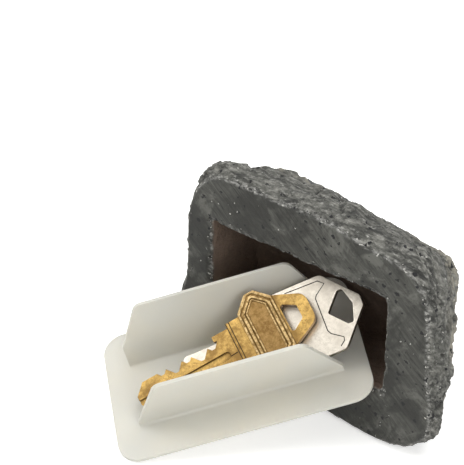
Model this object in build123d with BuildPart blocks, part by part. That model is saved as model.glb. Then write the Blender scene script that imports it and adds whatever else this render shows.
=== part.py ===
"""Hide a key rock, stood on its long side with the mouth open and the key tray leaning in it.

The rock is one casting: an irregular crown over a flat sanded base, with a drafted pocket
behind a rectangular mouth. The tray is a flat plate that covers the mouth, with two sprung
flanges that flare outward and grip the pocket. Two house keys lie between the flanges.

Row frame, millimetres: X along the mouth, Y into the rock, Z up. The origin is the middle
of the flat facet that the rock stands on.
"""
import os
from math import asin, cos, degrees, radians, sin, tan

from build123d import *

# ---------------------------------------------------------------- rock
mouth_length = 59.5
mouth_height = 31.0
mouth_corner = 1.5           # radius in the corners of the mouth
pocket_draft = 1.0           # degrees, so that the casting leaves its mould
rim_left = 11.0              # base face left of the mouth
rim_right = 15.5
rim_top = 15.5
rim_bottom = 16.5
rock_depth = 49.0            # base face to the top of the crown
standing_depth = 21.0        # base face to the middle of the standing facet
standing_drop = 1.6          # base face's lower edge above the standing facet

# ---------------------------------------------------------------- tray
plate_lap = 6.5              # plate past the mouth on every side
plate_thickness = 1.2
plate_corner = 6.5
flange_thickness = 1.1
flange_height = 21.2         # underside of the plate to the top of a flange
flange_foot_span = 21.2      # over the outsides of both flanges at the plate
flange_clearance = 0.5       # between a flange and the wall of the pocket, tray closed
near_flange_upright = 1.5    # straight part of the near flange's ends
near_flange_slope = 66.0     # degrees, sloped part of its ends from the plate
far_flange_upright = 7.0
far_flange_slope = 62.0
flange_top_corner = 3.0
flange_root = 0.8            # fillet where a flange meets the plate
pocket_room = 0.8            # straight wall past the flanges' tops, tray closed
pocket_bevel = 4.8           # bevelled back of the pocket, past the straight wall

tray_slope = 20.2            # degrees, plate up into the pocket
tray_turn = 47.3             # degrees, tray's long side from the lip
mouth_clearance = 0.6        # plate to each side of the mouth's flat lip, tray leaning
seat_gap = 0.3               # plate over the lip of the mouth

# ---------------------------------------------------------------- keys
key_thickness = 2.0
key_roll = 22.0              # degrees, far edge up against the far flange
key_gap = 0.3                # key over the plate, and one key over the other
groove_width = 2.2           # milled along both faces of a blade
groove_depth = 0.6
blade_point = 3.0            # length of the pointed tip
blade_tip_width = 2.4

brass_blade_length = 31.0
brass_blade_width = 8.7
brass_neck_length = 4.4      # plain block behind the shoulder
brass_neck_width = 14.4
brass_head_length = 10.8     # ribbed block
brass_head_width = 23.6
brass_head_swell = 0.4       # the ribbed block stands proud of both faces
brass_head_bevel = 4.0       # cut corners of the ribbed block
brass_ring_length = 8.3
brass_ring_width = 16.0      # ring end, where it leaves the ribbed block
brass_ring_end_width = 8.0
brass_ring_corner = 3.0
brass_hole_inset = 3.4       # wall of the ring
brass_hole_gap = 0.6         # ribbed block to the hole
brass_rib_spacing = 1.2
brass_rib_depth = 0.3
brass_panel_depth = 0.35     # blank panel in the middle of the ribs
brass_tip_from_end = 8.8     # tip of the key from the tray's outer end
brass_tip_from_side = 17.2   # and from its near side
brass_yaw = 8.0              # degrees across the tray
cut_spacing = 3.967          # between the cuts for two pins
cut_depths = (1.9, 3.1, 1.5, 2.5, 1.1)
cut_root = 1.0               # flat at the bottom of a cut
cut_angle = 50.0             # degrees, flank of a cut from the blade
cut_overshoot = 1.0          # cutter past the blade's edge
first_cut = 5.9              # shoulder to the first cut
stop_length = 5.0            # narrow tab in front of the shoulder
stop_overlap = 0.2           # tab's foot in the blade's edge
stop_width = 1.7

nickel_length = 55.0
nickel_blade_length = 28.5
nickel_blade_width = 8.7
nickel_bow_width = 22.4
nickel_bow_shoulder = 46.5   # tip to the corners where the bow turns to its point
nickel_bow_end_width = 3.0
nickel_bow_corner = 2.2
nickel_hole_back = 1.5       # hole starts this far in front of those corners
nickel_hole_end_wall = 2.6   # hole to the end of the bow
nickel_hole_wall = 1.2       # hole to the bow's slanted sides
nickel_tip_from_end = 21.4
nickel_tip_from_side = 22.0
nickel_yaw = 1.0
nickel_pitch = 10.2          # degrees, bow up


# ================================================================ frames
half_mouth = mouth_length / 2
base_y = -standing_depth
base_bottom = mouth_height / 2 + rim_bottom
mouth_z = base_bottom + standing_drop
lip_z = mouth_z - mouth_height / 2
pocket_straight = flange_height - plate_thickness + pocket_room
pocket_depth = pocket_straight + pocket_bevel

plate_length = mouth_length + 2 * plate_lap
plate_width = mouth_height + 2 * plate_lap

# The plate crosses the lip on a slant, from one side of the mouth to the other.
turn = radians(tray_turn)
slope = radians(tray_slope)
side_room = mouth_clearance + mouth_corner / 2
crossing = mouth_length - 2 * side_room
corner_run = crossing * sin(turn) * cos(turn) - plate_width * cos(turn)
corner_x = half_mouth - side_room - corner_run * tan(turn)

upslope = Vector(0, cos(slope), sin(slope))
long_way = Vector(cos(turn), 0, 0) + upslope * sin(turn)
tray_normal = Vector(0, -sin(slope), cos(slope))
inner_near_corner = Vector(corner_x, base_y, lip_z) + upslope * corner_run + tray_normal * seat_gap
outer_near_corner = inner_near_corner - long_way * plate_length
tray_place = Plane(origin=outer_near_corner, x_dir=long_way, z_dir=tray_normal).location


# ================================================================ rock
base_left = half_mouth + rim_left
base_right = half_mouth + rim_right
base_top = mouth_height / 2 + rim_top

# Sections parallel to the base face, all as shares of the rock's depth: how far in, then what
# the section gains (+) or gives up (-) against the base face at its left, right, top and bottom.
crown_sections = (
    (0.00, 0.000, 0.000, 0.000, 0.000),
    (0.16, 0.041, 0.024, 0.041, 0.053),
    (0.36, 0.020, -0.065, -0.053, 0.082),
    (0.58, -0.102, -0.200, -0.224, 0.061),
    (0.80, -0.306, -0.337, -0.398, -0.061),
    (1.00, -0.612, -0.592, -0.592, -0.327),
)
# Outline of a section on a unit square, with the corners that a broken stone has.
stone_outline = (
    (-1.00, -0.40), (-0.95, 0.20), (-0.88, 0.72), (-0.74, 0.94), (-0.40, 0.99), (0.20, 0.99),
    (0.56, 0.91), (0.77, 0.85), (0.89, 0.66), (0.94, 0.22), (0.98, -0.36), (0.98, -0.72),
    (0.84, -0.93), (0.30, -0.99), (-0.40, -1.00), (-0.86, -0.90),
)
# Broken faces: the way each one looks, and its bite into the casting as a share of the depth.
broken_faces = (
    ((0.62, 0.38, 0.69), 0.031),
    ((0.86, 0.47, -0.20), 0.061),
    ((-0.72, 0.55, 0.42), 0.051),
    ((-0.80, 0.42, -0.42), 0.061),
    ((0.10, 0.66, 0.74), 0.061),
    ((0.34, 0.90, 0.26), 0.051),
    ((-0.30, 0.93, -0.20), 0.041),
    ((0.62, 0.62, -0.48), 0.082),
    ((-0.20, 0.62, -0.76), 0.061),
    ((-0.42, 0.62, 0.66), 0.071),
)
# Hollows that the breaking left. Each belt starts at the middle of the mouth, a share of the
# depth in, and leans towards the crown by an angle; its bearings go round from the top.
hollow_belts = (
    (0.24, 0.0, (-45, -28, -9, 11, 30, 47, 62, 78, 95, 112, 127, 233, 250, 268, 285, 301)),
    (0.50, 0.0, (-40, -19, 4, 26, 48, 70, 93, 114, 232, 253, 275, 297)),
    (0.50, 45.0, (0, 45, 90, 135, 180, 225, 270, 315)),
    (0.50, 75.0, (60, 180, 300)),
)
# Radius and depth of the hollows in turn, as shares of the rock's depth.
hollow_sizes = ((0.30, 0.032), (0.22, 0.026), (0.36, 0.040), (0.26, 0.022), (0.33, 0.034))


def section_points(left, right, top, bottom):
    """Outline points of one section, from the middle of the mouth."""
    x_low, x_high = -base_left - left * rock_depth, base_right + right * rock_depth
    z_low, z_high = -base_bottom - bottom * rock_depth, base_top + top * rock_depth
    return [
        ((x_low + x_high + u * (x_high - x_low)) / 2, (z_low + z_high + v * (z_high - z_low)) / 2)
        for u, v in stone_outline
    ]


def crown_reach(way):
    """How far the casting reaches along a way, from the middle of the mouth."""
    return max(
        x * way.X + share * rock_depth * way.Y + z * way.Z
        for share, *sides in crown_sections
        for x, z in section_points(*sides)
    )


with BuildPart() as rock:
    for share, *sides in crown_sections:
        # z_dir looks out of the mouth, so that the sketch's Y is the row's Z
        section = Plane((0, base_y + share * rock_depth, mouth_z), x_dir=(1, 0, 0), z_dir=(0, -1, 0))
        with BuildSketch(section):
            with BuildLine():
                Spline(section_points(*sides), periodic=True)
            make_face()
    loft()
    split(bisect_by=Plane.XY, keep=Keep.TOP)
    for direction, bite in broken_faces:
        way = Vector(*direction).normalized()
        broken = Plane(Vector(0, base_y, mouth_z) + way * (crown_reach(way) - bite * rock_depth), z_dir=way)
        split(bisect_by=broken, keep=Keep.BOTTOM)
    hollows = [
        (share, radians(lean), radians(bearing))
        for share, lean, bearings in hollow_belts
        for bearing in bearings
    ]
    for number, (share, lean, bearing) in enumerate(hollows):
        radius, depth = (rock_depth * size for size in hollow_sizes[number % len(hollow_sizes)])
        start = Vector(0, base_y + share * rock_depth, mouth_z)
        way = Vector(sin(bearing) * cos(lean), sin(lean), cos(bearing) * cos(lean))
        point, outward = max(
            rock.part.find_intersection_points(Axis(start, way)),
            key=lambda hit: (hit[0] - start).dot(way),
        )
        # turned so that neither the ball's poles nor its seam touch the casting
        ball = Plane(point + outward * (radius - depth), x_dir=outward, z_dir=outward.cross(Vector(1, 1, 1)))
        with Locations(ball.location):
            Sphere(radius, mode=Mode.SUBTRACT)
    with BuildSketch(Plane((0, base_y, mouth_z), x_dir=(1, 0, 0), z_dir=(0, -1, 0))):
        RectangleRounded(mouth_length, mouth_height, mouth_corner)
    extrude(amount=-pocket_straight, taper=pocket_draft, mode=Mode.SUBTRACT)
    draft_loss = 2 * pocket_straight * tan(radians(pocket_draft))
    for depth, inset in ((pocket_straight, draft_loss), (pocket_depth, draft_loss + 2 * pocket_bevel)):
        with BuildSketch(Plane((0, base_y + depth, mouth_z), x_dir=(1, 0, 0), z_dir=(0, -1, 0))):
            RectangleRounded(mouth_length - inset, mouth_height - inset, mouth_corner / 2)
    loft(mode=Mode.SUBTRACT)


# ================================================================ tray
# Drawn in its own frame, X along it from the outer end, Y across from the near side, Z up
# from the plate's underside, and then put in its place.
flange_length = mouth_length - 2 * flange_clearance
flange_top_span = mouth_height - 2 * flange_clearance
flare = (flange_top_span - flange_foot_span) / 2
flange_slant = (flange_height**2 + flare**2) ** 0.5

with BuildPart() as tray_blank:
    with BuildSketch(Plane.XY):
        with Locations((plate_length / 2, plate_width / 2)):
            RectangleRounded(plate_length, plate_width, plate_corner)
    extrude(amount=plate_thickness)
    for side, upright, end_slope in (
        (-1, near_flange_upright, near_flange_slope), (1, far_flange_upright, far_flange_slope),
    ):
        straight = plate_thickness + upright
        end_run = (flange_slant - straight) / tan(radians(end_slope))
        # the flange's outer face, with the sketch's Y up the flange
        outer_face = Plane(
            (plate_length / 2, plate_width / 2 + side * flange_foot_span / 2, 0),
            x_dir=(1, 0, 0),
            z_dir=(0, -flange_height, side * flare),
        )
        with BuildSketch(outer_face) as flange_outline:
            with BuildLine():
                Polyline(
                    (-flange_length / 2, 0),
                    (-flange_length / 2, straight),
                    (-flange_length / 2 + end_run, flange_slant),
                    (flange_length / 2 - end_run, flange_slant),
                    (flange_length / 2, straight),
                    (flange_length / 2, 0),
                    close=True,
                )
            make_face()
            fillet(flange_outline.vertices().group_by(Axis.Y)[-1], flange_top_corner)
        extrude(amount=side * flange_thickness)
    roots = (
        tray_blank.edges()
        .filter_by(Axis.X)
        .filter_by_position(Axis.Z, plate_thickness - 0.01, plate_thickness + 0.01)
        .filter_by_position(Axis.Y, plate_lap, plate_width - plate_lap)
    )
    fillet(roots, flange_root)

with BuildPart() as tray:
    with Locations(tray_place):
        add(tray_blank.part)


# ================================================================ keys
# Each key is drawn flat, X from its tip to its bow, Y across it, Z up from its underside.
roll = radians(key_roll)


def tip_height(blade_width):
    """Underside of a rolled key's tip over the tray's underside, its low edge on the plate."""
    return plate_thickness + key_gap + blade_width / 2 * sin(roll)


def key_place(from_end, from_side, height, yaw, pitch):
    """Where a key lies, in the row frame, from where its tip lies in the tray."""
    in_tray = Pos(from_end, from_side, height) * Rot(Z=yaw) * Rot(Y=-pitch) * Rot(X=key_roll)
    return tray_place * in_tray


def blade_points(length, width):
    """Outline of a blade with its pointed tip, up one edge and down the other."""
    return [
        (length, -width / 2),
        (blade_point, -width / 2),
        (0, -blade_tip_width / 2),
        (0, blade_tip_width / 2),
        (blade_point, width / 2),
        (length, width / 2),
    ]


# ---------------------------------------------------------------- nickel key
nickel_half_bow = nickel_bow_width / 2
nickel_hole_start = nickel_bow_shoulder - nickel_hole_back
nickel_hole_length = nickel_length - nickel_hole_end_wall - nickel_hole_start
nickel_hole_widest = nickel_hole_start + 0.8 * nickel_hole_length
nickel_half_hole = nickel_bow_end_width / 2 - nickel_hole_wall + (
    (nickel_length - nickel_hole_widest) / (nickel_length - nickel_bow_shoulder)
) * (nickel_half_bow - nickel_bow_end_width / 2)

with BuildPart() as nickel_blank:
    with BuildSketch(Plane.XY):
        with BuildLine():
            Polyline(blade_points(nickel_blade_length, nickel_blade_width), close=True)
        make_face()
        with BuildSketch(mode=Mode.PRIVATE) as bow:
            with BuildLine():
                Polyline(
                    (nickel_blade_length, -nickel_half_bow + nickel_bow_corner),
                    (nickel_blade_length + nickel_bow_corner, -nickel_half_bow),
                    (nickel_bow_shoulder, -nickel_half_bow),
                    (nickel_length, -nickel_bow_end_width / 2),
                    (nickel_length, nickel_bow_end_width / 2),
                    (nickel_bow_shoulder, nickel_half_bow),
                    (nickel_blade_length + nickel_bow_corner, nickel_half_bow),
                    (nickel_blade_length, nickel_half_bow - nickel_bow_corner),
                    close=True,
                )
            make_face()
            fillet(bow.vertices().group_by(Axis.X)[-1], nickel_bow_end_width / 3)
            fillet(bow.vertices().filter_by_position(
                Axis.X, nickel_bow_shoulder - 0.1, nickel_bow_shoulder + 0.1), nickel_bow_corner)
        add(bow.sketch)
        with BuildSketch(mode=Mode.PRIVATE) as ring_hole:
            with BuildLine():
                Polyline(
                    (nickel_hole_start, 0),
                    (nickel_hole_start + 0.6 * nickel_hole_length, nickel_half_hole),
                    (nickel_hole_widest, nickel_half_hole),
                    (nickel_hole_start + nickel_hole_length, 0),
                    (nickel_hole_widest, -nickel_half_hole),
                    (nickel_hole_start + 0.6 * nickel_hole_length, -nickel_half_hole),
                    close=True,
                )
            make_face()
            fillet(ring_hole.vertices(), nickel_hole_length / 12)
        add(ring_hole.sketch, mode=Mode.SUBTRACT)
    extrude(amount=key_thickness)
    for face_height, cut_way in ((key_thickness, -1), (0, 1)):
        with BuildSketch(Plane.XY.offset(face_height)):
            with Locations((nickel_blade_length / 2 - groove_width, cut_way * groove_width / 2)):
                SlotOverall(nickel_blade_length, groove_width)
        extrude(amount=cut_way * groove_depth, mode=Mode.SUBTRACT)

nickel_place = key_place(
    nickel_tip_from_end, nickel_tip_from_side, tip_height(nickel_blade_width), nickel_yaw, nickel_pitch
)
with BuildPart() as nickel_key:
    with Locations(nickel_place):
        add(nickel_blank.part)

# ---------------------------------------------------------------- brass key
brass_neck_end = brass_blade_length + brass_neck_length
brass_head_end = brass_neck_end + brass_head_length
brass_length = brass_head_end + brass_ring_length
cut_flank = tan(radians(90 - cut_angle))


def head_outline(inset):
    """The ribbed block's outline, or a smaller one inside it, as a closed polyline."""
    start, end = brass_neck_end + inset, brass_head_end - inset
    half = brass_head_width / 2 - inset
    bevel = min(brass_head_bevel, (end - start) / 2.2)
    corners = [(start, half - bevel), (start + bevel, half), (end - bevel, half), (end, half - bevel)]
    return corners + [(x, -y) for x, y in reversed(corners)]


with BuildPart() as brass_blank:
    with BuildSketch(Plane.XY):
        with BuildLine():
            Polyline(blade_points(brass_blade_length, brass_blade_width), close=True)
        make_face()
        # neck block behind the shoulder
        with Locations((brass_blade_length + brass_neck_length / 2, 0)):
            Rectangle(brass_neck_length, brass_neck_width)
        # ring end
        with BuildSketch(mode=Mode.PRIVATE) as ring:
            with BuildLine():
                Polyline(
                    (brass_head_end, -brass_ring_width / 2),
                    (brass_length, -brass_ring_end_width / 2),
                    (brass_length, brass_ring_end_width / 2),
                    (brass_head_end, brass_ring_width / 2),
                    close=True,
                )
            make_face()
            fillet(ring.vertices().group_by(Axis.X)[-1], brass_ring_corner)
        add(ring.sketch)
        with BuildSketch(mode=Mode.PRIVATE) as hole:
            with BuildLine():
                Polyline(
                    (brass_head_end + brass_hole_gap, -brass_ring_width / 2 + brass_hole_inset),
                    (brass_length - brass_hole_inset, -brass_ring_end_width / 4),
                    (brass_length - brass_hole_inset, brass_ring_end_width / 4),
                    (brass_head_end + brass_hole_gap, brass_ring_width / 2 - brass_hole_inset),
                    close=True,
                )
            make_face()
            fillet(hole.vertices(), brass_ring_corner / 4)
        add(hole.sketch, mode=Mode.SUBTRACT)
        # cuts along the far edge, counted from the shoulder
        for number, depth in enumerate(cut_depths):
            x_cut = brass_blade_length - first_cut - number * cut_spacing
            edge = brass_blade_width / 2
            with BuildLine():
                Polyline(
                    (x_cut - cut_root / 2 - (depth + cut_overshoot) * cut_flank, edge + cut_overshoot),
                    (x_cut - cut_root / 2, edge - depth),
                    (x_cut + cut_root / 2, edge - depth),
                    (x_cut + cut_root / 2 + (depth + cut_overshoot) * cut_flank, edge + cut_overshoot),
                    close=True,
                )
            make_face(mode=Mode.SUBTRACT)
        # stop tab in front of the shoulder, clear of the cut beside it
        with Locations((
                brass_blade_length - stop_length / 2,
                (brass_blade_width + stop_width) / 2 - stop_overlap)):
            Rectangle(stop_length, stop_width)
    extrude(amount=key_thickness)
    # ribbed block, proud of both faces, with its ribs and blank panel
    with BuildSketch(Plane.XY.offset(-brass_head_swell)):
        with BuildLine():
            Polyline(head_outline(0), close=True)
        make_face()
    extrude(amount=key_thickness + 2 * brass_head_swell)
    for face_height, cut_way in ((key_thickness + brass_head_swell, -1), (-brass_head_swell, 1)):
        with BuildSketch(Plane.XY.offset(face_height)):
            for ring_number in (1, 2):
                inset = ring_number * brass_rib_spacing - brass_rib_spacing / 2
                with BuildLine():
                    Polyline(head_outline(inset), close=True)
                make_face()
                with BuildLine():
                    Polyline(head_outline(inset + brass_rib_spacing / 3), close=True)
                make_face(mode=Mode.SUBTRACT)
        extrude(amount=cut_way * brass_rib_depth, mode=Mode.SUBTRACT)
        with BuildSketch(Plane.XY.offset(face_height)):
            with BuildLine():
                Polyline(head_outline(2.2 * brass_rib_spacing), close=True)
            make_face()
        extrude(amount=cut_way * brass_panel_depth, mode=Mode.SUBTRACT)
    # grooves milled from the tip, which run out before the shoulder
    for face_height, cut_way in ((key_thickness, -1), (0, 1)):
        with BuildSketch(Plane.XY.offset(face_height)):
            with Locations((brass_blade_length / 2 - groove_width, cut_way * groove_width / 2)):
                SlotOverall(brass_blade_length, groove_width)
        extrude(amount=cut_way * groove_depth, mode=Mode.SUBTRACT)

# The brass key's tip lies on the plate and its ring end on the nickel key, so its pitch
# follows from the height of the nickel key's upper face below the ring end.
brass_tip_z = tip_height(brass_blade_width)
nickel_top = (tray_place.inverse() * nickel_place * Pos(0, 0, key_thickness)).position
nickel_normal = Plane(tray_place.inverse() * nickel_place).z_dir
ring_end_x = brass_tip_from_end + brass_length * cos(radians(brass_yaw))
ring_end_y = brass_tip_from_side + brass_length * sin(radians(brass_yaw))
rest_z = nickel_top.Z + (key_gap + brass_head_swell) / nickel_normal.Z - (
    nickel_normal.X * (ring_end_x - nickel_top.X) + nickel_normal.Y * (ring_end_y - nickel_top.Y)
) / nickel_normal.Z
brass_pitch = degrees(asin((rest_z - brass_tip_z) / brass_length))

with BuildPart() as brass_key:
    with Locations(key_place(
            brass_tip_from_end, brass_tip_from_side, brass_tip_z, brass_yaw, brass_pitch)):
        add(brass_blank.part)


# ================================================================ hand over
os.makedirs("parts", exist_ok=True)
for name, piece in (
    ("rock", rock), ("tray", tray), ("nickel_key", nickel_key), ("brass_key", brass_key),
):
    piece.part.label = name
    export_step(piece.part, f"parts/{name}.step")
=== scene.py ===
"""Hide a key rock: the cast stone, the plastic tray that leans in its mouth, and two house keys.

Each piece is made over its CAD solid, in the same frame, in metres: X along the mouth,
Y into the rock, Z up, with the rock stood on its long side.
"""

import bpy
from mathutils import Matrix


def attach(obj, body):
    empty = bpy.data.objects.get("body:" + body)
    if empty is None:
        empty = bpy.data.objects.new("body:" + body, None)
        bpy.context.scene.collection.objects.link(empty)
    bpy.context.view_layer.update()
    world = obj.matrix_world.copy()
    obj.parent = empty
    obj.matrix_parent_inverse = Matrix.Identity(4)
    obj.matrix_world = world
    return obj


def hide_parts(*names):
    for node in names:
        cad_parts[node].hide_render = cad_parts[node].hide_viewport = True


bl_info = {
    "name": "Hide a Key Rock",
    "version": (1, 0, 0),
    "blender": (4, 5, 0),
    "location": "3D Viewport > Sidebar > Key Rock",
    "description": "Builds an imitation stone with a key pocket, its tray and two keys",
    "category": "Add Mesh",
}

import math

import bmesh
import bpy
from bpy.props import FloatProperty, FloatVectorProperty, IntProperty, PointerProperty, StringProperty
from mathutils import Matrix, Vector, noise

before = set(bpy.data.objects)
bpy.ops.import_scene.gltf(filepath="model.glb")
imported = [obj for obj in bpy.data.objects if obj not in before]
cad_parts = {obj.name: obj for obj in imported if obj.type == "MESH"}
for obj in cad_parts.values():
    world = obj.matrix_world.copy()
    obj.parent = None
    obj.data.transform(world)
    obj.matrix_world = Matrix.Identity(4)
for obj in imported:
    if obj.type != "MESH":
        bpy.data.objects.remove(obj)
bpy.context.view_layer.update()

MM = 0.001

# Sizes that the CAD model gives the pieces, in millimetres
MOUTH_LENGTH = 59.5
MOUTH_HEIGHT = 31.0
MOUTH_MIDDLE_Z = 33.6
BASE_Y = -21.0
POCKET_DEPTH = 25.6
POCKET_DRAFT = math.radians(1.0)
POCKET_STRAIGHT = 20.8
POCKET_BEVEL = 4.8

TRAY_SLOPE = math.radians(20.2)
TRAY_TURN = math.radians(47.3)
TRAY_CORNER = Vector((-19.108, -72.544, -0.545))

KEY_THICKNESS = 2.0
KEY_ROLL = math.radians(22.0)
NICKEL_TIP = Vector((21.4, 22.0, 3.13))
NICKEL_YAW = math.radians(1.0)
NICKEL_PITCH = math.radians(10.2)
BRASS_TIP = Vector((8.8, 17.2, 3.13))
BRASS_YAW = math.radians(8.0)
BRASS_PITCH = math.radians(11.92)
HEAD_MIDDLE = 40.8
HEAD_LENGTH = 10.8
# The lines stamped at the brass key's shoulder, and where its side cutter ran out
BLADE_LINES = (
    ((31.2, -7.4), (31.2, 7.4)),
    ((32.1, -7.4), (32.1, 7.4)),
    ((17.0, -3.9), (20.0, -2.9), (23.0, -2.2), (26.0, -1.8), (30.9, -1.6)),
)
# The line engraved round the nickel key's bow, from the key's tip and its middle line
BOW_LINE = (
    (35.5, 10.0), (45.4, 9.7), (46.9, 8.3), (43.7, 6.0), (43.2, 5.2), (43.3, -4.6), (43.9, -5.7),
    (46.9, -7.9), (46.7, -8.9), (45.3, -10.0),
)


# ---------------------------------------------------------------- settings
def hex_setting(name, description, default):
    return StringProperty(name=name, description=description, default=default)


class KEYROCK_PG_rock(bpy.types.PropertyGroup):
    mesh_size: FloatProperty(
        name="Mesh size", description="Width of the even faces that the stone is cast in",
        default=0.54 * MM, min=0.3 * MM, max=2 * MM, unit="LENGTH", precision=5)
    lump_height: FloatProperty(
        name="Lump height", description="Height of the broad swells of the stone",
        default=0.8 * MM, min=0, max=1.5 * MM, unit="LENGTH", precision=5)
    crag_height: FloatProperty(
        name="Crag height", description="Height of the broken faces of the stone",
        default=1.9 * MM, min=0, max=2.5 * MM, unit="LENGTH", precision=5)
    grain_height: FloatProperty(
        name="Grain height", description="Height of the stone's coarse grain",
        default=0.38 * MM, min=0, max=0.8 * MM, unit="LENGTH", precision=5)
    chip_depth: FloatProperty(
        name="Chip depth", description="Depth of the chips along the edge of the mouth",
        default=0.95 * MM, min=0, max=1.2 * MM, unit="LENGTH", precision=5)
    charcoal: hex_setting("Charcoal", "Dark tone of the crust, sRGB hex", "#454541")
    ash: hex_setting("Ash", "Lighter grey of the crust, sRGB hex", "#8C8B84")
    cream: hex_setting("Cream", "Dry-brushed pale tone of the crown, sRGB hex", "#C2BCAB")
    slate: hex_setting("Slate", "Blue-grey of the crown, sRGB hex", "#39414D")
    sanded: hex_setting("Sanded", "Dark of the cut face of the casting, sRGB hex", "#2A2A27")
    pocket: hex_setting("Pocket", "Inside of the pocket, sRGB hex", "#7C6A5D")


class KEYROCK_PG_tray(bpy.types.PropertyGroup):
    edge_round: FloatProperty(
        name="Edge round", description="Radius that the mould leaves on the tray's edges",
        default=0.3 * MM, min=0.05 * MM, max=0.5 * MM, unit="LENGTH", precision=5)
    edge_segments: IntProperty(
        name="Edge segments", description="Faces round each edge", default=3, min=1, max=6)
    plastic: hex_setting("Plastic", "Natural polypropylene, sRGB hex", "#E6E1D3")


class KEYROCK_PG_keys(bpy.types.PropertyGroup):
    edge_round: FloatProperty(
        name="Edge round", description="Wear along the edges of the keys",
        default=0.14 * MM, min=0.02 * MM, max=0.3 * MM, unit="LENGTH", precision=5)
    line_width: FloatProperty(
        name="Line width", description="Width of the line engraved round the bow",
        default=0.3 * MM, min=0.1 * MM, max=0.6 * MM, unit="LENGTH", precision=5)
    nickel: hex_setting("Nickel", "Nickel plate, sRGB hex", "#D5CEC1")
    brass: hex_setting("Brass", "Worn brass, sRGB hex", "#CDA963")
    tarnish: hex_setting("Tarnish", "Brass where hands don't rub it, sRGB hex", "#80643A")


class KEYROCK_PG_stage(bpy.types.PropertyGroup):
    azimuth: FloatProperty(
        name="Azimuth", description="Camera's bearing, from the front to the right",
        default=math.radians(38.944), subtype="ANGLE")
    elevation: FloatProperty(
        name="Elevation", description="Camera's height as an angle over the floor",
        default=math.radians(34.041), subtype="ANGLE")
    distance: FloatProperty(
        name="Distance", description="Camera to the middle of the view",
        default=478.7 * MM, min=0.1, unit="LENGTH")
    target: FloatVectorProperty(
        name="Target", description="Point in the middle of the view",
        default=(-22.21 * MM, -21.0 * MM, 48.37 * MM), size=3, subtype="TRANSLATION", precision=5)
    lens: FloatProperty(
        name="Lens", description="Focal length on a 36 mm wide sensor, in millimetres",
        default=133.93, min=10)
    floor_tone: hex_setting("Floor", "Floor and backdrop, sRGB hex", "#F4F4F2")


# ---------------------------------------------------------------- helpers
def linear(code):
    """An sRGB hex value as a linear colour."""
    channels = [int(code[i:i + 2], 16) / 255 for i in (1, 3, 5)]
    return [c / 12.92 if c <= 0.04045 else ((c + 0.055) / 1.055) ** 2.4 for c in channels] + [1.0]


def add(tree, kind, settings, sockets):
    """Adds a node, with its settings, and its sockets set or linked."""
    node = tree.nodes.new("ShaderNode" + kind)
    for name, value in settings.items():
        setattr(node, name, value)
    for key, value in sockets.items():
        if isinstance(value, bpy.types.NodeSocket):
            tree.links.new(value, node.inputs[key])
        else:
            node.inputs[key].default_value = value
    return node


def new_material(name):
    """An empty material, its node tree and its output node."""
    material = bpy.data.materials.new(name)
    material.use_nodes = True
    tree = material.node_tree
    tree.nodes.clear()
    return material, tree, tree.nodes.new("ShaderNodeOutputMaterial")


def per_metre(size_mm):
    """The scale of a pattern on Object coordinates whose features are that many millimetres."""
    return 1000 / size_mm


def merged_copy(node):
    """A bmesh of a CAD node's own surface, its loose triangles welded where their corners meet."""
    mesh = bmesh.new()
    mesh.from_mesh(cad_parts[node].data)
    bmesh.ops.remove_doubles(mesh, verts=mesh.verts, dist=0.0005 * MM)
    return mesh


def make_piece(name, mesh, body, node, materials):
    """Turns a bmesh into a piece that stands for a CAD node and rides on its body."""
    data = bpy.data.meshes.new(name)
    mesh.to_mesh(data)
    mesh.free()
    piece = bpy.data.objects.new(name, data)
    bpy.context.scene.collection.objects.link(piece)
    for material in materials:
        data.materials.append(material)
    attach(piece, body)
    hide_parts(node)
    return piece


def bake_modifiers(piece):
    """Applies the modifiers of a piece, and keeps its materials."""
    bpy.context.view_layer.update()
    done = bpy.data.meshes.new_from_object(
        piece.evaluated_get(bpy.context.evaluated_depsgraph_get()))
    piece.modifiers.clear()
    piece.data = done
    return done


def smooth(value, low, high):
    """0 below low, 1 above high, and smooth between."""
    t = min(max((value - low) / (high - low), 0.0), 1.0)
    return t * t * (3 - 2 * t)


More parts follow.
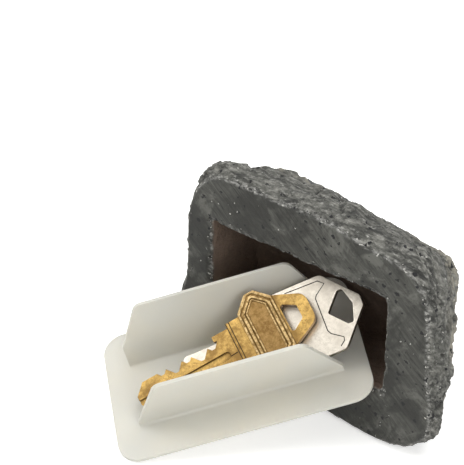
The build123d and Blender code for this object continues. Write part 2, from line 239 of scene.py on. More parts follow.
# ---------------------------------------------------------------- materials
def cast_stone(s):
    """Stone-filled polyester resin, cast in a rubber mould of a real stone and dry-brushed.

    The crust is dull and rough, with painted shade in its hollows and cracks, and pale where the brush
    caught it. The base was sanded flat, which leaves parallel scratches and opens small air bubbles, painted dark as
    shade.
    """
    material, tree, out = new_material("cast_stone_resin")
    at = add(tree, "TexCoord", {}, {}).outputs["Object"]
    mask = {
        name: add(tree, "Attribute", {"attribute_name": name}, {}).outputs["Fac"]
        for name in ("sanded", "pocket", "raised", "cream", "rim")
    }

    # what breaks is never round: coordinates shaken by 0.5 mm for the bubbles and flecks
    shake = add(tree, "TexNoise", {}, {"Vector": at, "Scale": per_metre(0.8), "Detail": 2.0})
    shaken = add(tree, "VectorMath", {"operation": "MULTIPLY_ADD"}, {
        0: shake.outputs["Color"], 1: (1.4 * MM, 1.4 * MM, 1.4 * MM), 2: at}).outputs["Vector"]

    # crust: charcoal and ash in clouds of about 9 mm, streaked along the stone's bedding
    clouds = add(tree, "TexNoise", {}, {"Vector": at, "Scale": per_metre(9), "Detail": 6.0, "Roughness": 0.62})
    cloud = add(tree, "MapRange", {"interpolation_type": "SMOOTHSTEP"}, {
        "Value": clouds.outputs["Fac"], "From Min": 0.36, "From Max": 0.68})
    bedding = add(tree, "Mapping", {"vector_type": "TEXTURE"}, {
        "Vector": at, "Rotation": (0.0, 0.45, 0.35), "Scale": (5.0, 1.0, 1.0)})
    streaks = add(tree, "TexNoise", {}, {
        "Vector": bedding.outputs["Vector"], "Scale": per_metre(2.2), "Detail": 5.0, "Roughness": 0.62})
    streak = add(tree, "MapRange", {}, {
        "Value": streaks.outputs["Fac"], "From Min": 0.47, "From Max": 0.68, "To Max": 0.85})
    crust = add(tree, "Mix", {"data_type": "RGBA"}, {
        0: cloud.outputs["Result"], 6: linear(s.charcoal), 7: linear("#5E5E58")})
    crust = add(tree, "Mix", {"data_type": "RGBA"}, {
        0: streak.outputs["Result"], 6: crust.outputs[2], 7: linear(s.ash)})

    deep = add(tree, "MapRange", {}, {
        "Value": streaks.outputs["Fac"], "From Min": 0.47, "From Max": 0.34, "To Max": 0.8})
    crust = add(tree, "Mix", {"data_type": "RGBA"}, {
        0: deep.outputs["Result"], 6: crust.outputs[2], 7: linear("#232321")})

    # dark grit and pale crumbs, of 0.6 mm and less
    layers = add(tree, "Mapping", {"vector_type": "TEXTURE"}, {
        "Vector": at, "Rotation": (0.0, 0.45, 0.35), "Scale": (2.6, 1.0, 1.0)})
    fine = add(tree, "TexNoise", {}, {
        "Vector": layers.outputs["Vector"], "Scale": per_metre(1.1), "Detail": 6.0, "Roughness": 0.75})
    grit = add(tree, "MapRange", {}, {"Value": fine.outputs["Fac"], "From Min": 0.5, "From Max": 0.36, "To Max": 0.75})
    crust = add(tree, "Mix", {"data_type": "RGBA"}, {
        0: grit.outputs["Result"], 6: crust.outputs[2], 7: linear("#262624")})
    crumbs = add(tree, "MapRange", {}, {"Value": fine.outputs["Fac"], "From Min": 0.54, "From Max": 0.66, "To Max": 0.7})
    crust = add(tree, "Mix", {"data_type": "RGBA"}, {
        0: crumbs.outputs["Result"], 6: crust.outputs[2], 7: linear("#A9A8A2")})

    # slate patches of about 14 mm on the crown
    patches = add(tree, "TexNoise", {"noise_dimensions": "4D"}, {
        "Vector": at, "W": 3.1, "Scale": per_metre(14), "Detail": 3.0, "Roughness": 0.5})
    slate = add(tree, "MapRange", {"interpolation_type": "SMOOTHSTEP"}, {
        "Value": patches.outputs["Fac"], "From Min": 0.52, "From Max": 0.58, "To Max": 0.85})
    slate = add(tree, "Math", {"operation": "MULTIPLY"}, {0: slate.outputs["Result"], 1: mask["cream"]})
    crust = add(tree, "Mix", {"data_type": "RGBA"}, {
        0: slate.outputs["Value"], 6: crust.outputs[2], 7: linear(s.slate)})

    # cream that a dry brush leaves on the raised parts, broken up at about 3 mm
    brushed = add(tree, "TexNoise", {"noise_dimensions": "4D"}, {
        "Vector": at, "W": 7.7, "Scale": per_metre(11), "Detail": 9.0, "Roughness": 0.68, "Distortion": 0.6})
    reach = add(tree, "Math", {"operation": "MULTIPLY_ADD"}, {0: mask["raised"], 1: 0.16, 2: brushed.outputs["Fac"]})
    cream = add(tree, "MapRange", {"interpolation_type": "SMOOTHSTEP"}, {
        "Value": reach.outputs["Value"], "From Min": 0.55, "From Max": 0.64})
    cream = add(tree, "Math", {"operation": "MULTIPLY"}, {0: cream.outputs["Result"], 1: mask["cream"]})
    cream_tone = add(tree, "Mix", {"data_type": "RGBA"}, {
        0: fine.outputs["Fac"], 6: linear("#8D877A"), 7: linear(s.cream)})
    crust = add(tree, "Mix", {"data_type": "RGBA"}, {
        0: cream.outputs["Value"], 6: crust.outputs[2], 7: cream_tone.outputs[2]})

    # painted shade: the hollows and cracks of the crust are darkened
    hollow = add(tree, "MapRange", {"interpolation_type": "SMOOTHSTEP"}, {
        "Value": mask["raised"], "From Min": 0.42, "From Max": 0.12, "To Max": 0.75})
    crust = add(tree, "Mix", {"data_type": "RGBA"}, {
        0: hollow.outputs["Result"], 6: crust.outputs[2], 7: linear("#1F1F1D")})

    # sanded face: scratches 0.35 mm wide that run down to the right, over blotches of 9 and 15 mm
    sanding = add(tree, "Mapping", {"vector_type": "TEXTURE"}, {
        "Vector": at, "Rotation": (0.0, math.radians(40), 0.0), "Scale": (14.0, 1.0, 1.0)})
    scratches = add(tree, "TexNoise", {}, {
        "Vector": sanding.outputs["Vector"], "Scale": per_metre(1.0), "Detail": 8.0, "Roughness": 0.85,
        "Distortion": 0.9})
    blotches = add(tree, "TexNoise", {"noise_dimensions": "4D"}, {
        "Vector": at, "W": 1.3, "Scale": per_metre(9), "Detail": 7.0, "Roughness": 0.7, "Distortion": 0.8})
    scratch = add(tree, "MapRange", {}, {
        "Value": scratches.outputs["Fac"], "From Min": 0.36, "From Max": 0.74})
    cut = add(tree, "Mix", {"data_type": "RGBA"}, {
        0: scratch.outputs["Result"], 6: linear("#20201E"), 7: linear("#65655F")})
    blotch = add(tree, "MapRange", {"interpolation_type": "SMOOTHSTEP"}, {
        "Value": blotches.outputs["Fac"], "From Min": 0.5, "From Max": 0.64, "To Max": 0.6})
    cut = add(tree, "Mix", {"data_type": "RGBA"}, {
        0: blotch.outputs["Result"], 6: cut.outputs[2], 7: linear("#6F6F69")})
    damp = add(tree, "TexNoise", {"noise_dimensions": "4D"}, {
        "Vector": at, "W": 6.4, "Scale": per_metre(15), "Detail": 7.0, "Roughness": 0.65, "Distortion": 0.5})
    dark = add(tree, "MapRange", {"interpolation_type": "SMOOTHSTEP"}, {
        "Value": damp.outputs["Fac"], "From Min": 0.54, "From Max": 0.43, "To Max": 0.8})
    cut = add(tree, "Mix", {"data_type": "RGBA"}, {
        0: dark.outputs["Result"], 6: cut.outputs[2], 7: linear(s.sanded)})

    surface = add(tree, "Mix", {"data_type": "RGBA"}, {
        0: mask["sanded"], 6: crust.outputs[2], 7: cut.outputs[2]})

    # the broken edge of the sanded face is paler, in bits of 1.6 mm
    broken = add(tree, "MapRange", {}, {
        "Value": fine.outputs["Fac"], "From Min": 0.46, "From Max": 0.6, "To Max": 0.75})
    edge = add(tree, "Math", {"operation": "MULTIPLY"}, {0: mask["rim"], 1: broken.outputs["Result"]})
    surface = add(tree, "Mix", {"data_type": "RGBA"}, {
        0: edge.outputs["Value"], 6: surface.outputs[2], 7: linear("#A3A29E")})

    # air bubbles opened by the sanding, up to 1.2 mm across, ten or so in each square centimetre, painted near black
    # as the shade in their holes
    bubbles = add(tree, "TexVoronoi", {}, {"Vector": shaken, "Scale": per_metre(2.1), "Randomness": 1.0})
    bubble_size = add(tree, "SeparateColor", {}, {"Color": bubbles.outputs["Color"]})
    bubble_edge = add(tree, "MapRange", {}, {
        "Value": bubble_size.outputs["Red"], "From Min": 0.4, "From Max": 1.0, "To Min": 0.0, "To Max": 0.34})
    bubble = add(tree, "Math", {"operation": "LESS_THAN"}, {
        0: bubbles.outputs["Distance"], 1: bubble_edge.outputs["Result"]})
    surface = add(tree, "Mix", {"data_type": "RGBA"}, {
        0: bubble.outputs["Value"], 6: surface.outputs[2], 7: linear("#1B1B1C")})

    # pale flecks of the filler, thick along the rim of the base
    flecks = add(tree, "TexVoronoi", {}, {"Vector": shaken, "Scale": per_metre(0.8), "Randomness": 1.0})
    fleck_kind = add(tree, "SeparateColor", {}, {"Color": flecks.outputs["Color"]})
    fleck_share = add(tree, "MapRange", {}, {
        "Value": mask["rim"], "To Min": 0.985, "To Max": 0.72})
    fleck_here = add(tree, "Math", {"operation": "GREATER_THAN"}, {
        0: fleck_kind.outputs["Green"], 1: fleck_share.outputs["Result"]})
    fleck_round = add(tree, "Math", {"operation": "LESS_THAN"}, {0: flecks.outputs["Distance"], 1: 0.34})
    fleck = add(tree, "Math", {"operation": "MULTIPLY"}, {
        0: fleck_here.outputs["Value"], 1: fleck_round.outputs["Value"]})
    surface = add(tree, "Mix", {"data_type": "RGBA"}, {
        0: fleck.outputs["Value"], 6: surface.outputs[2], 7: linear("#B9B7B1")})

    # the pocket keeps the brown of its mould's release wax
    pocket_tone = add(tree, "Mix", {"data_type": "RGBA"}, {
        0: clouds.outputs["Fac"], 6: linear("#54473D"), 7: linear(s.pocket)})
    surface = add(tree, "Mix", {"data_type": "RGBA"}, {
        0: mask["pocket"], 6: surface.outputs[2], 7: pocket_tone.outputs[2]})

    # relief: coarse grain of 1.4 mm on the crust, scratches on the sanded face, and the bubbles
    grain = add(tree, "TexNoise", {}, {"Vector": at, "Scale": per_metre(1.4), "Detail": 6.0, "Roughness": 0.65})
    coarse = add(tree, "Math", {"operation": "MULTIPLY_ADD"}, {
        0: streaks.outputs["Fac"], 1: 2.0, 2: grain.outputs["Fac"]})
    relief = add(tree, "Mix", {}, {0: mask["sanded"], 2: coarse.outputs["Value"], 3: scratches.outputs["Fac"]})
    relief = add(tree, "Math", {"operation": "MULTIPLY_ADD"}, {
        0: bubble.outputs["Value"], 1: -0.9, 2: relief.outputs[0]})
    depth = add(tree, "MapRange", {}, {"Value": mask["sanded"], "To Min": 1.0, "To Max": 0.3})
    bump = add(tree, "Bump", {}, {
        "Strength": depth.outputs["Result"], "Distance": 0.6 * MM, "Height": relief.outputs["Value"]})
    rough = add(tree, "MapRange", {}, {"Value": fine.outputs["Fac"], "To Min": 0.62, "To Max": 0.88})
    shader = add(tree, "BsdfPrincipled", {}, {
        "Base Color": surface.outputs[2], "Roughness": rough.outputs["Result"],
        "Specular IOR Level": 0.35, "Normal": bump.outputs["Normal"]})
    tree.links.new(shader.outputs["BSDF"], out.inputs["Surface"])
    return material


def natural_polypropylene(s):
    """Natural polypropylene, injection moulded in a bead-blasted mould.

    Milky and a little translucent, with a soft sheen and no pigment.
    """
    material, tree, out = new_material("polypropylene_natural")
    at = add(tree, "TexCoord", {}, {}).outputs["Object"]
    # flow of the melt, in clouds of about 16 mm
    flow = add(tree, "TexNoise", {}, {"Vector": at, "Scale": per_metre(16), "Detail": 3.0, "Roughness": 0.5})
    tone = add(tree, "Mix", {"data_type": "RGBA"}, {
        0: flow.outputs["Fac"], 6: linear("#DADBD6"), 7: linear(s.plastic)})
    # bead blast of 0.5 mm, drawn coarse enough to show
    blast = add(tree, "TexNoise", {}, {"Vector": at, "Scale": per_metre(0.5), "Detail": 3.0, "Roughness": 0.6})
    bump = add(tree, "Bump", {}, {
        "Strength": 0.12, "Distance": 0.05 * MM, "Height": blast.outputs["Fac"]})
    rough = add(tree, "MapRange", {}, {"Value": flow.outputs["Fac"], "To Min": 0.5, "To Max": 0.62})
    shader = add(tree, "BsdfPrincipled", {}, {
        "Base Color": tone.outputs[2], "Roughness": rough.outputs["Result"], "IOR": 1.49,
        "Transmission Weight": 0.34, "Subsurface Weight": 0.35, "Subsurface Radius": (1.0, 0.95, 0.85), "Subsurface Scale": 1.2 * MM,
        "Normal": bump.outputs["Normal"]})
    tree.links.new(shader.outputs["BSDF"], out.inputs["Surface"])
    return material


def key_metal(name, place, tone, dull, dirt_and_shade, worn, rough_low, rough_high):
    """Key blank metal, stamped, milled and tumbled, then carried on a ring.

    Rubbed bright in patches and dull between them, with hairline scratches in every direction.
    """
    material, tree, out = new_material(name)
    body = add(tree, "TexCoord", {}, {}).outputs["Object"]
    own = add(tree, "Mapping", {"vector_type": "TEXTURE"}, {
        "Vector": body, "Location": place.translation, "Rotation": place.to_euler()})
    at = own.outputs["Vector"]
    # handling wear in clouds of about 6 mm
    wear = add(tree, "TexNoise", {}, {"Vector": at, "Scale": per_metre(6), "Detail": 6.0, "Roughness": 0.65})
    rubbed_and_wall_shade = add(tree, "MapRange", {"interpolation_type": "SMOOTHSTEP"}, {
        "Value": wear.outputs["Fac"], "From Min": 0.35, "From Max": 0.62, "To Min": 1.0 - worn})
    # painted shade: the walls between the flat faces are dark, and only the flat faces take the rubbed tone
    facing = add(tree, "VectorMath", {"operation": "DOT_PRODUCT"}, {
        0: add(tree, "NewGeometry", {}, {}).outputs["Normal"], 1: place.to_3x3() @ Vector((0, 0, 1))})
    level = add(tree, "Math", {"operation": "ABSOLUTE"}, {0: facing.outputs["Value"]})
    flat = add(tree, "MapRange", {}, {"Value": level.outputs["Value"], "From Min": 0.4, "From Max": 0.8, "To Min": 0.15})
    rubbed_and_wall_shade = add(tree, "Math", {"operation": "MULTIPLY"}, {0: rubbed_and_wall_shade.outputs["Result"], 1: flat.outputs["Result"]})
    colour = add(tree, "Mix", {"data_type": "RGBA"}, {
        0: rubbed_and_wall_shade.outputs["Value"], 6: linear(dull), 7: linear(tone)})
    if name == "brass_worn":
        # the ribbed head keeps its brown, darkest in the hollows between the ribs
        where = add(tree, "SeparateXYZ", {}, {0: at})
        head = add(tree, "Math", {"operation": "COMPARE"}, {
            0: where.outputs["X"], 1: HEAD_MIDDLE * MM, 2: HEAD_LENGTH / 2 * MM})
        height = add(tree, "MapRange", {}, {
            "Value": where.outputs["Z"], "From Min": (KEY_THICKNESS + 0.12) * MM, "From Max": (KEY_THICKNESS + 0.38) * MM})
        brown = add(tree, "Mix", {"data_type": "RGBA"}, {
            0: height.outputs["Result"], 6: linear("#92754B"), 7: linear("#CFB381")})
        # tarnish in spots of 1.3 mm
        spots = add(tree, "TexNoise", {}, {"Vector": at, "Scale": per_metre(1.3), "Detail": 5.0, "Roughness": 0.75})
        spot = add(tree, "MapRange", {}, {
            "Value": spots.outputs["Fac"], "From Min": 0.56, "From Max": 0.4, "To Max": 0.85})
        brown = add(tree, "Mix", {"data_type": "RGBA"}, {
            0: spot.outputs["Result"], 6: brown.outputs[2], 7: linear("#604624")})
        most = add(tree, "Math", {"operation": "MULTIPLY"}, {0: head.outputs["Value"], 1: 0.9})
        colour = add(tree, "Mix", {"data_type": "RGBA"}, {
            0: most.outputs["Value"], 6: colour.outputs[2], 7: brown.outputs[2]})
    # dirt and painted shade in the corners, within 1.1 mm of a wall, from ambient occlusion
    corner = add(tree, "AmbientOcclusion", {"samples": 8, "only_local": True}, {"Distance": 1.1 * MM})
    clear_of_dirt_and_shade = add(tree, "MapRange", {"interpolation_type": "SMOOTHSTEP"}, {
        "Value": corner.outputs["AO"], "From Min": 0.45, "From Max": 0.92})
    colour = add(tree, "Mix", {"data_type": "RGBA"}, {
        0: clear_of_dirt_and_shade.outputs["Result"], 6: linear(dirt_and_shade), 7: colour.outputs[2]})
    # tumbled grain, drawn 0.8 mm wide so that it shows, dull in its hollows
    grain = add(tree, "TexNoise", {}, {"Vector": at, "Scale": per_metre(0.8), "Detail": 4.0, "Roughness": 0.75})
    hollow = add(tree, "MapRange", {}, {
        "Value": grain.outputs["Fac"], "From Min": 0.54, "From Max": 0.36, "To Max": 0.75})
    colour = add(tree, "Mix", {"data_type": "RGBA"}, {
        0: hollow.outputs["Result"], 6: colour.outputs[2], 7: linear(dull)})
    # hairlines 0.3 mm wide, one set each way
    lines = []
    for angle, seed in ((0.7, 0.0), (-0.5, 4.2)):
        way = add(tree, "Mapping", {"vector_type": "TEXTURE"}, {
            "Vector": at, "Rotation": (0.0, 0.0, angle), "Scale": (25.0, 1.0, 1.0)})
        lines.append(add(tree, "TexNoise", {"noise_dimensions": "4D"}, {
            "Vector": way.outputs["Vector"], "W": seed, "Scale": per_metre(0.5), "Detail": 2.0}))
    crossed = add(tree, "Math", {"operation": "MAXIMUM"}, {
        0: lines[0].outputs["Fac"], 1: lines[1].outputs["Fac"]})
    hairline = add(tree, "MapRange", {}, {
        "Value": crossed.outputs["Value"], "From Min": 0.6, "From Max": 0.75})
    height = add(tree, "Math", {"operation": "MULTIPLY_ADD"}, {
        0: hairline.outputs["Result"], 1: -0.5, 2: grain.outputs["Fac"]})
    bump = add(tree, "Bump", {}, {
        "Strength": 0.6, "Distance": 0.06 * MM, "Height": height.outputs["Value"]})
    rough = add(tree, "MapRange", {}, {
        "Value": wear.outputs["Fac"], "From Min": 0.3, "From Max": 0.7,
        "To Min": rough_high, "To Max": rough_low})
    shader = add(tree, "BsdfPrincipled", {}, {
        "Base Color": colour.outputs[2], "Metallic": 1.0, "Roughness": rough.outputs["Result"],
        "Normal": bump.outputs["Normal"]})
    tree.links.new(shader.outputs["BSDF"], out.inputs["Surface"])
    return material


def engraved_metal(name, dark, light):
    """Metal at the bottom of a stamped line, dark with old polish, pocket dirt and painted shade."""
    material, tree, out = new_material(name)
    at = add(tree, "TexCoord", {}, {}).outputs["Object"]
    # dirt and painted shade, in flakes of 0.6 mm
    dirt_and_shade = add(tree, "TexNoise", {}, {"Vector": at, "Scale": per_metre(0.6), "Detail": 2.0})
    colour = add(tree, "Mix", {"data_type": "RGBA"}, {
        0: dirt_and_shade.outputs["Fac"], 6: linear(dark), 7: linear(light)})
    shader = add(tree, "BsdfPrincipled", {}, {
        "Base Color": colour.outputs[2], "Metallic": 0.4, "Roughness": 0.6})
    tree.links.new(shader.outputs["BSDF"], out.inputs["Surface"])
    return material


def stage_tone(name, tone, glow):
    """Matt paper sweep, which the camera sees almost white and which keeps a shadow."""
    material, tree, out = new_material(name)
    path = add(tree, "LightPath", {}, {})
    seen = add(tree, "Math", {"operation": "MAXIMUM"}, {
        0: path.outputs["Is Camera Ray"], 1: path.outputs["Is Glossy Ray"]})
    seen = add(tree, "Math", {"operation": "MAXIMUM"}, {
        0: seen.outputs["Value"], 1: path.outputs["Is Transmission Ray"]})
    # the sweep fades to white 0.3 to 1.5 m away from the object
    at = add(tree, "TexCoord", {}, {}).outputs["Object"]
    far = add(tree, "VectorMath", {"operation": "LENGTH"}, {0: at})
    fade = add(tree, "MapRange", {"interpolation_type": "SMOOTHSTEP"}, {
        "Value": far.outputs["Value"], "From Min": 0.3, "From Max": 1.5, "To Min": glow, "To Max": 0.8})
    strength = add(tree, "Math", {"operation": "MULTIPLY"}, {0: seen.outputs["Value"], 1: fade.outputs["Result"]})
    paper = add(tree, "BsdfDiffuse", {}, {"Color": linear(tone)})
    light = add(tree, "Emission", {}, {"Color": (1, 1, 1, 1), "Strength": strength.outputs["Value"]})
    both = add(tree, "AddShader", {}, {0: paper.outputs["BSDF"], 1: light.outputs["Emission"]})
    tree.links.new(both.outputs["Shader"], out.inputs["Surface"])
    return material


# ---------------------------------------------------------------- pieces
def mouth_distance(x, z):
    """Distance outside the mouth's outline, less than nothing within it, in millimetres."""
    dx = abs(x) - MOUTH_LENGTH / 2
    dz = abs(z - MOUTH_MIDDLE_Z) - MOUTH_HEIGHT / 2
    return math.hypot(max(dx, 0), max(dz, 0)) + min(max(dx, dz), 0)


def crag_field(p):
    """Height of the stone's broken faces at a point in millimetres, and how deep in a crack it is.

    Splinters about 14 x 6 mm lie along the bedding; each has its own height and tilt, so that
    their edges are steps, and some of the edges open as cracks.
    """
    warp = noise.turbulence_vector(p * 0.09, 3, False) * 2.6
    q = p + warp
    q = Vector(((q.x * 0.9 - q.z * 0.3) * 0.07, (q.y + q.x * 0.2) * 0.16, (q.z + q.x * 0.3) * 0.16))
    height, crack = 0.0, 0.0
    for size, share, seed in ((1.0, 0.62, 0.0), (2.3, 0.38, 11.3)):
        at = q * size + Vector((seed, seed, seed))
        gaps, cells = noise.voronoi(at)
        tilt = noise.noise_vector(cells[0] * 5.7)
        height += share * (0.8 * noise.noise(cells[0] * 3.1) + (at - cells[0]).dot(tilt) * 0.9)
        crack += share * (1 - smooth(gaps[1] - gaps[0], 0.0, 0.11)) * smooth(noise.noise(at * 0.7), -0.2, 0.2)
    return height, crack


class KEYROCK_OT_rock(bpy.types.Operator):
    """Cast the rock: an even mesh over the CAD solid, broken up as stone outside and sanded on its base"""
    bl_idname = "keyrock.rock"
    bl_label = "Rock"

    def execute(self, context):
        s = context.scene.keyrock_rock
        rock = make_piece("rock_skin", merged_copy("rock"), "rock", "rock", [])
        even = rock.modifiers.new("Even mesh", "REMESH")
        even.mode = "VOXEL"
        even.voxel_size = s.mesh_size
        data = bake_modifiers(rock)

        mesh = bmesh.new()
        mesh.from_mesh(data)
        mesh.normal_update()
        marks = {name: mesh.verts.layers.float.new(name) for name in ("sanded", "pocket", "raised", "cream", "rim")}
        flat = []
        moves = []
        for vert in mesh.verts:
            p = vert.co / MM
            n = vert.normal
            inward = p.y - BASE_Y
            outside = mouth_distance(p.x, p.z)
            wall = max(0.0, inward) * math.tan(POCKET_DRAFT) + max(0.0, inward - POCKET_STRAIGHT)
            in_pocket = outside < 0.45 - wall * 0.5 and inward < POCKET_DEPTH + 0.6 and (
                inward > 0.3 or outside < -0.3)
            facing = -n.y
            on_base = inward < 0.5 and facing > 0.55 and not in_pocket
            crag, crack = crag_field(p)
            raised = min(max(0.55 + 0.45 * crag - 0.6 * crack, 0.0), 1.0)
            # chips along the edge of the mouth
            chip = 0.5 + 0.5 * noise.fractal(p * 0.26, 0.7, 2.3, 4)
            near_mouth = (1 - smooth(abs(outside), 0.3, 2.0)) * (1 - smooth(inward, 0.3, 2.0))
            move = Vector((0, 0, 0))
            if in_pocket:
                outwards = Vector((n.x, 0, n.z))
                if outwards.length > 0.3:
                    move = -outwards.normalized() * s.chip_depth * 0.6 * near_mouth * smooth(chip, 0.35, 0.75)
            elif on_base:
                flat.append(vert)
                move = Vector((0, 1, 0)) * s.chip_depth * near_mouth * smooth(chip, 0.3, 0.8)
            else:
                away = smooth(inward, 0.0, 3.5)
                layered = Vector((p.x * 0.25 - p.z * 0.08, p.y + p.x * 0.15, p.z + p.x * 0.25))
                grain = noise.fractal(layered * 0.85, 0.75, 2.2, 5)
                lumps = noise.fractal(p * 0.07, 1.0, 2.0, 3)
                rise = s.lump_height * lumps * away
                rise += s.crag_height * (crag - 0.45 * crack) * (0.45 + 0.55 * away)
                rise += s.grain_height * grain
                move = n * rise
            moves.append(move)
            vert[marks["sanded"]] = 1.0 if on_base else 0.0
            vert[marks["pocket"]] = smooth(inward, 0.4, 1.6) if in_pocket else 0.0
            vert[marks["raised"]] = 0.7 if in_pocket or on_base else raised
            brushed = smooth(inward, 10, 26) * (1 - 0.75 * smooth(n.z, 0.3, 0.9)) * (1 - 0.6 * smooth(n.x, 0.5, 0.95))
            under = smooth(-n.z, 0.2, 0.7) * smooth(inward, 1, 6)
            vert[marks["cream"]] = max(brushed, 0.9 * under)
            rim = (1 - smooth(inward, 0.2, 1.6)) * (1 - smooth(facing, 0.8, 0.99))
            vert[marks["rim"]] = max(rim, 0.8 * near_mouth * smooth(chip, 0.35, 0.7))
        for vert, move in zip(mesh.verts, moves):
            if vert.co.z > 0.3 * MM or vert.normal.z > -0.5:
                vert.co += move
            vert.co.z = max(vert.co.z, 0.0)
        for _ in range(3):
            bmesh.ops.smooth_vert(
                mesh, verts=flat, factor=0.5, use_axis_x=True, use_axis_y=False, use_axis_z=True)
        for face in mesh.faces:
            face.smooth = True
        mesh.to_mesh(data)
        mesh.free()
        data.materials.append(cast_stone(s))
        return {"FINISHED"}


class KEYROCK_OT_tray(bpy.types.Operator):
    """Mould the tray: the CAD plate and flanges, with their edges rounded"""
    bl_idname = "keyrock.tray"
    bl_label = "Tray"

    def execute(self, context):
        s = context.scene.keyrock_tray
        mesh = merged_copy("tray")
        bmesh.ops.dissolve_limit(mesh, angle_limit=math.radians(2), verts=mesh.verts, edges=mesh.edges)
        tray = make_piece("tray_moulding", mesh, "tray", "tray", [natural_polypropylene(s)])
        rounding = tray.modifiers.new("Moulded edges", "BEVEL")
        rounding.width = s.edge_round
        rounding.segments = s.edge_segments
        rounding.limit_method = "ANGLE"
        rounding.angle_limit = math.radians(40)
        data = bake_modifiers(tray)
        for face in data.polygons:
            face.use_smooth = True
        data.set_sharp_from_angle(angle=math.radians(35))
        even = tray.modifiers.new("Flat faces", "WEIGHTED_NORMAL")
        even.keep_sharp = True
        return {"FINISHED"}


def key_place(tip, yaw, pitch):
    """Where a key lies in the row frame: X along it from its tip, and Z up from its underside."""
    upslope = Vector((0, math.cos(TRAY_SLOPE), math.sin(TRAY_SLOPE)))
    long_way = Vector((math.cos(TRAY_TURN), 0, 0)) + upslope * math.sin(TRAY_TURN)
    normal = Vector((0, -math.sin(TRAY_SLOPE), math.cos(TRAY_SLOPE)))
    tray = Matrix((long_way, normal.cross(long_way), normal)).transposed().to_4x4()
    tray.translation = TRAY_CORNER * MM
    return tray @ Matrix.Translation(tip * MM) @ (
        Matrix.Rotation(yaw, 4, "Z") @ Matrix.Rotation(-pitch, 4, "Y")
        @ Matrix.Rotation(KEY_ROLL, 4, "X"))


def engrave(key, place, lines, width, filling):
    """Cuts round-bottomed lines into a key. Each is a height and its points, in the key's own millimetres."""
    path = bpy.data.curves.new("engraving", "CURVE")
    path.dimensions = "3D"
    path.bevel_depth = width / 2
    path.bevel_resolution = 1
    path.use_fill_caps = True
    for height, points in lines:
        line = path.splines.new("POLY")
        line.points.add(len(points) - 1)
        for knot, (x, y) in zip(line.points, points):
            knot.co = (x * MM, y * MM, height * MM, 1)
    bars = bpy.data.objects.new("engraving", path)
    bpy.context.scene.collection.objects.link(bars)
    bpy.context.view_layer.update()
    data = bpy.data.meshes.new_from_object(bars.evaluated_get(bpy.context.evaluated_depsgraph_get()))
    bpy.data.objects.remove(bars)
    data.transform(place)
    data.materials.append(filling)
    tool = bpy.data.objects.new("engraving_tool", data)
    bpy.context.scene.collection.objects.link(tool)
    cut = key.modifiers.new("Engraved lines", "BOOLEAN")
    cut.operation = "DIFFERENCE"
    cut.solver = "EXACT"
    cut.material_mode = "TRANSFER"
    cut.object = tool
    bake_modifiers(key)
    bpy.data.objects.remove(tool)


def make_key(node, name, place, metal, lines, line_width, filling, edge_round):
    """Makes a key from its CAD blank: its edges worn round, then its lines stamped."""
    mesh = merged_copy(node)
    bmesh.ops.dissolve_limit(mesh, angle_limit=math.radians(2), verts=mesh.verts, edges=mesh.edges)
    key = make_piece(name, mesh, node, node, [metal])
    wear = key.modifiers.new("Worn edges", "BEVEL")
    wear.width = edge_round
    wear.segments = 2
    wear.limit_method = "ANGLE"
    wear.angle_limit = math.radians(40)
    wear.use_clamp_overlap = False
    bake_modifiers(key)
    engrave(key, place, lines, line_width, filling)
    for face in key.data.polygons:
        face.use_smooth = True
    key.data.set_sharp_from_angle(angle=math.radians(32))
    even = key.modifiers.new("Flat faces", "WEIGHTED_NORMAL")
    even.keep_sharp = True


class KEYROCK_OT_nickel_key(bpy.types.Operator):
    """Make the nickel key: the CAD blank with worn edges and the line engraved round its bow"""
    bl_idname = "keyrock.nickel_key"
    bl_label = "Nickel Key"

    def execute(self, context):
        s = context.scene.keyrock_keys
        place = key_place(NICKEL_TIP, NICKEL_YAW, NICKEL_PITCH)
        make_key(
            "nickel_key", "nickel_key_blank", place,
            key_metal("nickel_plate_tumbled", place, s.nickel, "#B3AB9E", "#45413A", 0.7, 0.26, 0.4),
            [(KEY_THICKNESS, BOW_LINE)], s.line_width, engraved_metal("nickel_engraved", "#1E1C1A", "#3A3733"),
            s.edge_round)
        return {"FINISHED"}


class KEYROCK_OT_brass_key(bpy.types.Operator):
    """Make the brass key: the CAD blank, cuts, ribs and blank panel, with worn edges"""
    bl_idname = "keyrock.brass_key"
    bl_label = "Brass Key"

    def execute(self, context):
        s = context.scene.keyrock_keys
        place = key_place(BRASS_TIP, BRASS_YAW, BRASS_PITCH)
        make_key(
            "brass_key", "brass_key_cut", place,
            key_metal("brass_worn", place, s.brass, s.tarnish, "#3A2810", 1.0, 0.24, 0.44),
            [(KEY_THICKNESS, line) for line in BLADE_LINES], s.line_width,
            engraved_metal("brass_engraved", "#2A1C0C", "#5A4220"), s.edge_round * 0.8)
        return {"FINISHED"}


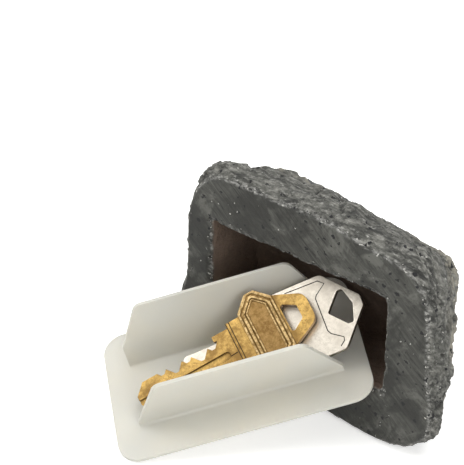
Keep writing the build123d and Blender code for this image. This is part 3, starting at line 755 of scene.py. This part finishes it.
class KEYROCK_OT_stage(bpy.types.Operator):
    """Set the white sweep, soft lights and the camera"""
    bl_idname = "keyrock.stage"
    bl_label = "Stage"

    def execute(self, context):
        s = context.scene.keyrock_stage
        mesh = bmesh.new()
        bmesh.ops.create_grid(mesh, x_segments=2, y_segments=2, size=3.0)
        data = bpy.data.meshes.new("floor")
        mesh.to_mesh(data)
        mesh.free()
        data.materials.append(stage_tone("paper_sweep", s.floor_tone, 0.45))
        floor = bpy.data.objects.new("floor", data)
        context.scene.collection.objects.link(floor)

        world = bpy.data.worlds.new("studio")
        context.scene.world = world
        world.use_nodes = True
        tree = world.node_tree
        tree.nodes.clear()
        path = add(tree, "LightPath", {}, {})
        seen = add(tree, "Math", {"operation": "MAXIMUM"}, {
            0: path.outputs["Is Camera Ray"], 1: path.outputs["Is Glossy Ray"]})
        seen = add(tree, "Math", {"operation": "MAXIMUM"}, {
            0: seen.outputs["Value"], 1: path.outputs["Is Transmission Ray"]})
        strength = add(tree, "MapRange", {}, {"Value": seen.outputs["Value"], "To Min": 0.3, "To Max": 1.0})
        sky = add(tree, "Background", {}, {"Color": (1, 1, 1, 1), "Strength": strength.outputs["Result"]})
        end = tree.nodes.new("ShaderNodeOutputWorld")
        tree.links.new(sky.outputs["Background"], end.inputs["Surface"])

        middle = Vector((-5, -20, 25)) * MM
        for name, place, size, power in (
            ("softbox_left", (-420, -330, 520), 0.45, 2.7),
            ("softbox_top", (60, 40, 640), 0.55, 2.0),
            ("softbox_right", (520, -260, 300), 0.4, 2.2),
            ("softbox_back", (-120, 560, 380), 0.5, 1.2),
        ):
            light = bpy.data.lights.new(name, "AREA")
            light.shape = "SQUARE"
            light.size = size
            light.energy = power
            lamp = bpy.data.objects.new(name, light)
            lamp.location = Vector(place) * MM
            lamp.rotation_euler = (middle - lamp.location).to_track_quat("-Z", "Y").to_euler()
            context.scene.collection.objects.link(lamp)

        view = bpy.data.cameras.new("camera")
        view.sensor_fit = "HORIZONTAL"
        view.sensor_width = 36
        view.lens = s.lens
        view.clip_start = 0.01
        camera = bpy.data.objects.new("camera", view)
        toward = Vector((
            math.sin(s.azimuth) * math.cos(s.elevation),
            -math.cos(s.azimuth) * math.cos(s.elevation),
            math.sin(s.elevation),
        ))
        camera.location = Vector(s.target) + toward * s.distance
        camera.rotation_euler = (-toward).to_track_quat("-Z", "Y").to_euler()
        context.scene.collection.objects.link(camera)
        context.scene.camera = camera
        context.scene.view_settings.view_transform = "Standard"
        return {"FINISHED"}


class KEYROCK_PT_panel(bpy.types.Panel):
    """Buttons and settings for each piece"""
    bl_label = "Hide a Key Rock"
    bl_idname = "KEYROCK_PT_panel"
    bl_space_type = "VIEW_3D"
    bl_region_type = "UI"
    bl_category = "Key Rock"

    def draw(self, context):
        scene = context.scene
        for title, operators, settings in (
            ("Stage", ("keyrock.stage",), scene.keyrock_stage),
            ("Rock", ("keyrock.rock",), scene.keyrock_rock),
            ("Tray", ("keyrock.tray",), scene.keyrock_tray),
            ("Keys", ("keyrock.nickel_key", "keyrock.brass_key"), scene.keyrock_keys),
        ):
            box = self.layout.box()
            box.label(text=title)
            for name in settings.__annotations__:
                box.prop(settings, name)
            for operator in operators:
                box.operator(operator)


CLASSES = (
    KEYROCK_PG_rock, KEYROCK_PG_tray, KEYROCK_PG_keys, KEYROCK_PG_stage,
    KEYROCK_OT_stage, KEYROCK_OT_rock, KEYROCK_OT_tray, KEYROCK_OT_nickel_key,
    KEYROCK_OT_brass_key, KEYROCK_PT_panel,
)


def register():
    for each in CLASSES:
        bpy.utils.register_class(each)
    bpy.types.Scene.keyrock_rock = PointerProperty(type=KEYROCK_PG_rock)
    bpy.types.Scene.keyrock_tray = PointerProperty(type=KEYROCK_PG_tray)
    bpy.types.Scene.keyrock_keys = PointerProperty(type=KEYROCK_PG_keys)
    bpy.types.Scene.keyrock_stage = PointerProperty(type=KEYROCK_PG_stage)


def unregister():
    for name in ("keyrock_rock", "keyrock_tray", "keyrock_keys", "keyrock_stage"):
        delattr(bpy.types.Scene, name)
    for each in reversed(CLASSES):
        bpy.utils.unregister_class(each)


def main():
    register()
    bpy.ops.keyrock.stage()
    bpy.ops.keyrock.rock()
    bpy.ops.keyrock.tray()
    bpy.ops.keyrock.nickel_key()
    bpy.ops.keyrock.brass_key()


if __name__ == "__main__":
    main()
